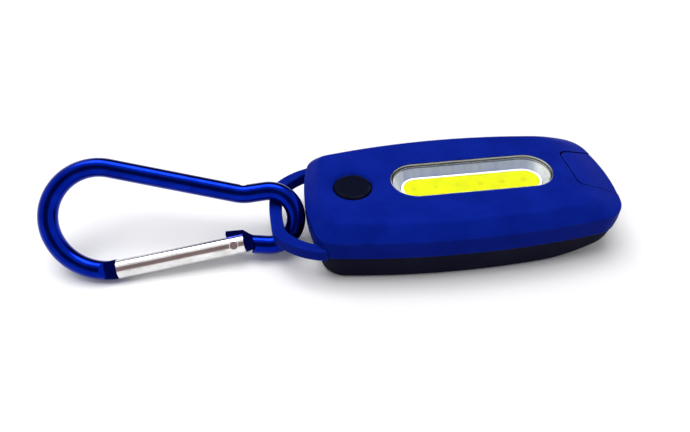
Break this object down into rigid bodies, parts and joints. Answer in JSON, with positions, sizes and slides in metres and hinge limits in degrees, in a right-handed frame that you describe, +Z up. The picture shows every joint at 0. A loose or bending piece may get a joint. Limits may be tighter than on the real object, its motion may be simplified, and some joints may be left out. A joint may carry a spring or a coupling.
{
  "type": "keychain flashlight",
  "caption": "Flat keychain flashlight with a strip of LEDs behind a clear window, a push button, a moulded loop and a snap carabiner with a sprung gate.",
  "frame": {"origin": "on the light's centre line, 35 mm from the loop end of its body, on the table plane under it", "axes": "+X from the loop towards the light's plain end, +Y across the body away from the gate side, +Z up through the window"},
  "size_m": [0.1294, 0.0346, 0.021],
  "materials": {
    "blue_plastic": "satin moulded",
    "black_plastic": "fine moulded grain",
    "button_plastic": "soft matt",
    "clear_plastic": "clear",
    "silvered_plastic": "satin metallised",
    "led_ceramic": "white",
    "phosphor_gel": "yellow silicone gel",
    "semiconductor": "polished",
    "board_green": "solder mask",
    "chip_black": "moulded epoxy",
    "switch_black": "moulded",
    "bright_steel": "plated",
    "cell_steel": "nickel plated",
    "lead_red": "insulation",
    "lead_black": "insulation",
    "anodised_blue": "bright anodised",
    "gate_silver": "bright"
  },
  "bodies": {
    "light": {"upper_shell": "blue_plastic", "end_cap": "blue_plastic", "rear_cover": "black_plastic", "battery_door": "black_plastic", "door_screw": "bright_steel", "shell_screws": "bright_steel", "board_screws": "bright_steel", "battery_holder": "black_plastic", "cell_lower": "cell_steel", "cell_upper": "cell_steel", "side_contact": "bright_steel", "top_contact": "bright_steel", "main_board": "board_green", "switch_body": "switch_black", "switch_plate": "bright_steel", "switch_dome": "bright_steel", "driver_chip": "chip_black", "resistors": "chip_black", "led_board": "led_ceramic", "led_dam": "led_ceramic", "led_dies": "semiconductor", "phosphor": "phosphor_gel", "reflector": "silvered_plastic", "lens": "clear_plastic", "lead_red": "lead_red", "lead_black": "lead_black"},
    "button": {"button": "button_plastic"},
    "switch": {"switch_stem": "switch_black"},
    "carabiner": {"carabiner_frame": "anodised_blue", "gate_rivet": "gate_silver"},
    "gate": {"gate": "gate_silver", "gate_spring": "bright_steel"}
  },
  "joints": [
    {"name": "button_press", "type": "slide", "parent": "light", "child": "button", "axis": [0, 0, -1], "range_m": [0, 0.00035], "stiffness_N_per_m": 4000},
    {"name": "switch_press", "type": "slide", "parent": "light", "child": "switch", "axis": [0, 0, -1], "range_m": [0, 0.00035], "deforming": ["switch_dome"]},
    {"name": "carabiner_swing", "type": "hinge", "parent": "light", "child": "carabiner", "pos_m": [-0.0417, 0, 0.0081], "axis": [0, 1, 0], "range_deg": [-20, 50]},
    {"name": "gate_open", "type": "hinge", "parent": "carabiner", "child": "gate", "pos_m": [-0.05148, -0.0046, 0.00429], "axis": [-0.0043, 0.7227, -0.6911], "range_deg": [0, 32], "stiffness_Nm_per_rad": 0.02, "springref_deg": -11.46, "deforming": ["gate_spring"]}
  ],
  "couplings": [
    {"joint": "switch_press", "follows": "button_press", "ratio": 1}
  ]
}
